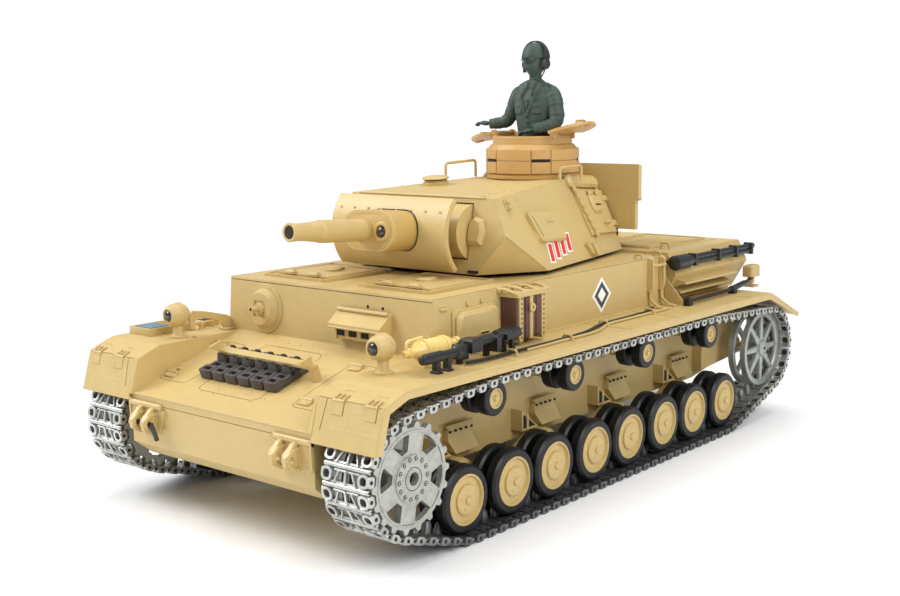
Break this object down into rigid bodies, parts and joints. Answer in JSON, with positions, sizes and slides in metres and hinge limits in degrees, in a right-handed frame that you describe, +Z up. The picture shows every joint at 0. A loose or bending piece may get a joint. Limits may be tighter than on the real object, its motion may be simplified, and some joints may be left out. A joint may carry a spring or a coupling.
{
  "type": "radio-controlled tank model",
  "caption": "Radio-controlled tracked tank model with turret, elevating gun, bogie running gear, metal tracks and a crew figure.",
  "frame": {"origin": "on the ground, on the centre plane, under the middle of the vehicle's whole length from the tow ears to the rear mudguard edge", "axes": "+Z up, front of the vehicle towards -Y, +X to the vehicle's left"},
  "size_m": [0.185, 0.3606, 0.2102],
  "materials": {
    "hull_plastic": "satin desert tan",
    "cupola_plastic": "satin, slightly more orange tan",
    "zinc_track": "bright cast zinc",
    "zinc_sprocket": "cast zinc, satin",
    "steel_idler": "darkened steel",
    "black_tool": "satin black",
    "brown_track": "dark brown",
    "maroon_box": "dark red-brown",
    "yellow_gloss": "light yellow, slightly shiny",
    "figure_plastic": "dark green-grey",
    "grey_plastic": "moulded grey",
    "battery_wrap": "shrink wrap blue",
    "circuit_green": "circuit board housing"
  },
  "bodies": {
    "hull": {"track_left": "zinc_track", "track_right": "zinc_track", "chassis_tub": "hull_plastic", "upper_hull": "hull_plastic", "fenders": "hull_plastic", "tow_pin": "black_tool", "hull_machine_gun": "hull_plastic", "headlamps": "hull_plastic", "side_box": "maroon_box", "spare_track_links": "brown_track", "fire_extinguisher": "yellow_gloss", "pioneer_tools": "black_tool", "exhaust_silencer": "hull_plastic", "drive_units": "grey_plastic", "battery_pack": "battery_wrap", "electronics": "circuit_green"},
    "turret": {"turret_shell": "hull_plastic", "cupola": "cupola_plastic", "commander_figure": "figure_plastic", "stowage_bin": "hull_plastic"},
    "gun": {"gun_mantlet": "hull_plastic", "gun_barrel": "hull_plastic"},
    "hatch_flap_left": {"hatch_flap_left": "cupola_plastic"},
    "hatch_flap_right": {"hatch_flap_right": "cupola_plastic"},
    "sprocket_left": {"drive_sprocket_left": "zinc_sprocket"},
    "idler_left": {"idler_left": "steel_idler"},
    "roller_left_1": {"return_roller_left_1": "hull_plastic"},
    "roller_left_2": {"return_roller_left_2": "hull_plastic"},
    "roller_left_3": {"return_roller_left_3": "hull_plastic"},
    "roller_left_4": {"return_roller_left_4": "hull_plastic"},
    "bogie_left_1": {"bogie_left_1": "hull_plastic"},
    "wheel_left_1": {"road_wheel_left_1": "hull_plastic"},
    "wheel_left_2": {"road_wheel_left_2": "hull_plastic"},
    "bogie_left_2": {"bogie_left_2": "hull_plastic"},
    "wheel_left_3": {"road_wheel_left_3": "hull_plastic"},
    "wheel_left_4": {"road_wheel_left_4": "hull_plastic"},
    "bogie_left_3": {"bogie_left_3": "hull_plastic"},
    "wheel_left_5": {"road_wheel_left_5": "hull_plastic"},
    "wheel_left_6": {"road_wheel_left_6": "hull_plastic"},
    "bogie_left_4": {"bogie_left_4": "hull_plastic"},
    "wheel_left_7": {"road_wheel_left_7": "hull_plastic"},
    "wheel_left_8": {"road_wheel_left_8": "hull_plastic"},
    "sprocket_right": {"drive_sprocket_right": "zinc_sprocket"},
    "idler_right": {"idler_right": "steel_idler"},
    "roller_right_1": {"return_roller_right_1": "hull_plastic"},
    "roller_right_2": {"return_roller_right_2": "hull_plastic"},
    "roller_right_3": {"return_roller_right_3": "hull_plastic"},
    "roller_right_4": {"return_roller_right_4": "hull_plastic"},
    "bogie_right_1": {"bogie_right_1": "hull_plastic"},
    "wheel_right_1": {"road_wheel_right_1": "hull_plastic"},
    "wheel_right_2": {"road_wheel_right_2": "hull_plastic"},
    "bogie_right_2": {"bogie_right_2": "hull_plastic"},
    "wheel_right_3": {"road_wheel_right_3": "hull_plastic"},
    "wheel_right_4": {"road_wheel_right_4": "hull_plastic"},
    "bogie_right_3": {"bogie_right_3": "hull_plastic"},
    "wheel_right_5": {"road_wheel_right_5": "hull_plastic"},
    "wheel_right_6": {"road_wheel_right_6": "hull_plastic"},
    "bogie_right_4": {"bogie_right_4": "hull_plastic"},
    "wheel_right_7": {"road_wheel_right_7": "hull_plastic"},
    "wheel_right_8": {"road_wheel_right_8": "hull_plastic"}
  },
  "joints": [
    {"name": "turret_traverse", "type": "hinge", "parent": "hull", "child": "turret", "pos_m": [0, 0.00225, 0.1002], "axis": [0, 0, 1], "range_deg": [-160, 160]},
    {"name": "gun_elevation", "type": "hinge", "parent": "turret", "child": "gun", "pos_m": [0, -0.04375, 0.1192], "axis": [-1, 0, 0], "range_deg": [-8, 12]},
    {"name": "hatch_left_open", "type": "hinge", "parent": "turret", "child": "hatch_flap_left", "pos_m": [0.0195, 0.04655, 0.1628], "axis": [0, 1, 0], "range_deg": [-40, 12]},
    {"name": "hatch_right_open", "type": "hinge", "parent": "turret", "child": "hatch_flap_right", "pos_m": [-0.0195, 0.04655, 0.1628], "axis": [0, -1, 0], "range_deg": [-18, 0]},
    {"name": "drive_left", "type": "hinge", "parent": "hull", "child": "sprocket_left", "pos_m": [0.0765, -0.15035, 0.0367], "axis": [1, 0, 0], "continuous": true},
    {"name": "idler_left_spin", "type": "hinge", "parent": "hull", "child": "idler_left", "pos_m": [0.0765, 0.15525, 0.039], "axis": [1, 0, 0], "continuous": true},
    {"name": "roller_left_1_spin", "type": "hinge", "parent": "hull", "child": "roller_left_1", "pos_m": [0.0765, -0.09335, 0.0568], "axis": [1, 0, 0], "continuous": true},
    {"name": "roller_left_2_spin", "type": "hinge", "parent": "hull", "child": "roller_left_2", "pos_m": [0.0765, -0.03515, 0.0568], "axis": [1, 0, 0], "continuous": true},
    {"name": "roller_left_3_spin", "type": "hinge", "parent": "hull", "child": "roller_left_3", "pos_m": [0.0765, 0.02715, 0.0568], "axis": [1, 0, 0], "continuous": true},
    {"name": "roller_left_4_spin", "type": "hinge", "parent": "hull", "child": "roller_left_4", "pos_m": [0.0765, 0.09105, 0.0568], "axis": [1, 0, 0], "continuous": true},
    {"name": "bogie_left_1_rock", "type": "hinge", "parent": "hull", "child": "bogie_left_1", "pos_m": [0.062, -0.097, 0.024], "axis": [1, 0, 0], "range_deg": [-2, 2]},
    {"name": "wheel_left_1_spin", "type": "hinge", "parent": "bogie_left_1", "child": "wheel_left_1", "pos_m": [0.0765, -0.11315, 0.018], "axis": [1, 0, 0], "continuous": true},
    {"name": "wheel_left_2_spin", "type": "hinge", "parent": "bogie_left_1", "child": "wheel_left_2", "pos_m": [0.0765, -0.08085, 0.018], "axis": [1, 0, 0], "continuous": true},
    {"name": "bogie_left_2_rock", "type": "hinge", "parent": "hull", "child": "bogie_left_2", "pos_m": [0.062, -0.0344, 0.024], "axis": [1, 0, 0], "range_deg": [-2, 2]},
    {"name": "wheel_left_3_spin", "type": "hinge", "parent": "bogie_left_2", "child": "wheel_left_3", "pos_m": [0.0765, -0.05055, 0.018], "axis": [1, 0, 0], "continuous": true},
    {"name": "wheel_left_4_spin", "type": "hinge", "parent": "bogie_left_2", "child": "wheel_left_4", "pos_m": [0.0765, -0.01825, 0.018], "axis": [1, 0, 0], "continuous": true},
    {"name": "bogie_left_3_rock", "type": "hinge", "parent": "hull", "child": "bogie_left_3", "pos_m": [0.062, 0.0282, 0.024], "axis": [1, 0, 0], "range_deg": [-2, 2]},
    {"name": "wheel_left_5_spin", "type": "hinge", "parent": "bogie_left_3", "child": "wheel_left_5", "pos_m": [0.0765, 0.01205, 0.018], "axis": [1, 0, 0], "continuous": true},
    {"name": "wheel_left_6_spin", "type": "hinge", "parent": "bogie_left_3", "child": "wheel_left_6", "pos_m": [0.0765, 0.04435, 0.018], "axis": [1, 0, 0], "continuous": true},
    {"name": "bogie_left_4_rock", "type": "hinge", "parent": "hull", "child": "bogie_left_4", "pos_m": [0.062, 0.0908, 0.024], "axis": [1, 0, 0], "range_deg": [-1, 2]},
    {"name": "wheel_left_7_spin", "type": "hinge", "parent": "bogie_left_4", "child": "wheel_left_7", "pos_m": [0.0765, 0.07465, 0.018], "axis": [1, 0, 0], "continuous": true},
    {"name": "wheel_left_8_spin", "type": "hinge", "parent": "bogie_left_4", "child": "wheel_left_8", "pos_m": [0.0765, 0.10695, 0.018], "axis": [1, 0, 0], "continuous": true},
    {"name": "drive_right", "type": "hinge", "parent": "hull", "child": "sprocket_right", "pos_m": [-0.0765, -0.15035, 0.0367], "axis": [1, 0, 0], "continuous": true},
    {"name": "idler_right_spin", "type": "hinge", "parent": "hull", "child": "idler_right", "pos_m": [-0.0765, 0.15525, 0.039], "axis": [1, 0, 0], "continuous": true},
    {"name": "roller_right_1_spin", "type": "hinge", "parent": "hull", "child": "roller_right_1", "pos_m": [-0.0765, -0.09335, 0.0568], "axis": [1, 0, 0], "continuous": true},
    {"name": "roller_right_2_spin", "type": "hinge", "parent": "hull", "child": "roller_right_2", "pos_m": [-0.0765, -0.03515, 0.0568], "axis": [1, 0, 0], "continuous": true},
    {"name": "roller_right_3_spin", "type": "hinge", "parent": "hull", "child": "roller_right_3", "pos_m": [-0.0765, 0.02715, 0.0568], "axis": [1, 0, 0], "continuous": true},
    {"name": "roller_right_4_spin", "type": "hinge", "parent": "hull", "child": "roller_right_4", "pos_m": [-0.0765, 0.09105, 0.0568], "axis": [1, 0, 0], "continuous": true},
    {"name": "bogie_right_1_rock", "type": "hinge", "parent": "hull", "child": "bogie_right_1", "pos_m": [-0.062, -0.097, 0.024], "axis": [1, 0, 0], "range_deg": [-2, 2]},
    {"name": "wheel_right_1_spin", "type": "hinge", "parent": "bogie_right_1", "child": "wheel_right_1", "pos_m": [-0.0765, -0.11315, 0.018], "axis": [1, 0, 0], "continuous": true},
    {"name": "wheel_right_2_spin", "type": "hinge", "parent": "bogie_right_1", "child": "wheel_right_2", "pos_m": [-0.0765, -0.08085, 0.018], "axis": [1, 0, 0], "continuous": true},
    {"name": "bogie_right_2_rock", "type": "hinge", "parent": "hull", "child": "bogie_right_2", "pos_m": [-0.062, -0.0344, 0.024], "axis": [1, 0, 0], "range_deg": [-2, 2]},
    {"name": "wheel_right_3_spin", "type": "hinge", "parent": "bogie_right_2", "child": "wheel_right_3", "pos_m": [-0.0765, -0.05055, 0.018], "axis": [1, 0, 0], "continuous": true},
    {"name": "wheel_right_4_spin", "type": "hinge", "parent": "bogie_right_2", "child": "wheel_right_4", "pos_m": [-0.0765, -0.01825, 0.018], "axis": [1, 0, 0], "continuous": true},
    {"name": "bogie_right_3_rock", "type": "hinge", "parent": "hull", "child": "bogie_right_3", "pos_m": [-0.062, 0.0282, 0.024], "axis": [1, 0, 0], "range_deg": [-2, 2]},
    {"name": "wheel_right_5_spin", "type": "hinge", "parent": "bogie_right_3", "child": "wheel_right_5", "pos_m": [-0.0765, 0.01205, 0.018], "axis": [1, 0, 0], "continuous": true},
    {"name": "wheel_right_6_spin", "type": "hinge", "parent": "bogie_right_3", "child": "wheel_right_6", "pos_m": [-0.0765, 0.04435, 0.018], "axis": [1, 0, 0], "continuous": true},
    {"name": "bogie_right_4_rock", "type": "hinge", "parent": "hull", "child": "bogie_right_4", "pos_m": [-0.062, 0.0908, 0.024], "axis": [1, 0, 0], "range_deg": [-1, 2]},
    {"name": "wheel_right_7_spin", "type": "hinge", "parent": "bogie_right_4", "child": "wheel_right_7", "pos_m": [-0.0765, 0.07465, 0.018], "axis": [1, 0, 0], "continuous": true},
    {"name": "wheel_right_8_spin", "type": "hinge", "parent": "bogie_right_4", "child": "wheel_right_8", "pos_m": [-0.0765, 0.10695, 0.018], "axis": [1, 0, 0], "continuous": true}
  ],
  "couplings": [
    {"joint": "idler_left_spin", "follows": "drive_left", "ratio": 1.0457},
    {"joint": "roller_left_1_spin", "follows": "drive_left", "ratio": 2.9359},
    {"joint": "roller_left_2_spin", "follows": "drive_left", "ratio": 2.9359},
    {"joint": "roller_left_3_spin", "follows": "drive_left", "ratio": 2.9359},
    {"joint": "roller_left_4_spin", "follows": "drive_left", "ratio": 2.9359},
    {"joint": "wheel_left_1_spin", "follows": "drive_left", "ratio": 1.487},
    {"joint": "wheel_left_2_spin", "follows": "drive_left", "ratio": 1.487},
    {"joint": "wheel_left_3_spin", "follows": "drive_left", "ratio": 1.487},
    {"joint": "wheel_left_4_spin", "follows": "drive_left", "ratio": 1.487},
    {"joint": "wheel_left_5_spin", "follows": "drive_left", "ratio": 1.487},
    {"joint": "wheel_left_6_spin", "follows": "drive_left", "ratio": 1.487},
    {"joint": "wheel_left_7_spin", "follows": "drive_left", "ratio": 1.487},
    {"joint": "wheel_left_8_spin", "follows": "drive_left", "ratio": 1.487},
    {"joint": "idler_right_spin", "follows": "drive_right", "ratio": 1.0457},
    {"joint": "roller_right_1_spin", "follows": "drive_right", "ratio": 2.9359},
    {"joint": "roller_right_2_spin", "follows": "drive_right", "ratio": 2.9359},
    {"joint": "roller_right_3_spin", "follows": "drive_right", "ratio": 2.9359},
    {"joint": "roller_right_4_spin", "follows": "drive_right", "ratio": 2.9359},
    {"joint": "wheel_right_1_spin", "follows": "drive_right", "ratio": 1.487},
    {"joint": "wheel_right_2_spin", "follows": "drive_right", "ratio": 1.487},
    {"joint": "wheel_right_3_spin", "follows": "drive_right", "ratio": 1.487},
    {"joint": "wheel_right_4_spin", "follows": "drive_right", "ratio": 1.487},
    {"joint": "wheel_right_5_spin", "follows": "drive_right", "ratio": 1.487},
    {"joint": "wheel_right_6_spin", "follows": "drive_right", "ratio": 1.487},
    {"joint": "wheel_right_7_spin", "follows": "drive_right", "ratio": 1.487},
    {"joint": "wheel_right_8_spin", "follows": "drive_right", "ratio": 1.487}
  ]
}
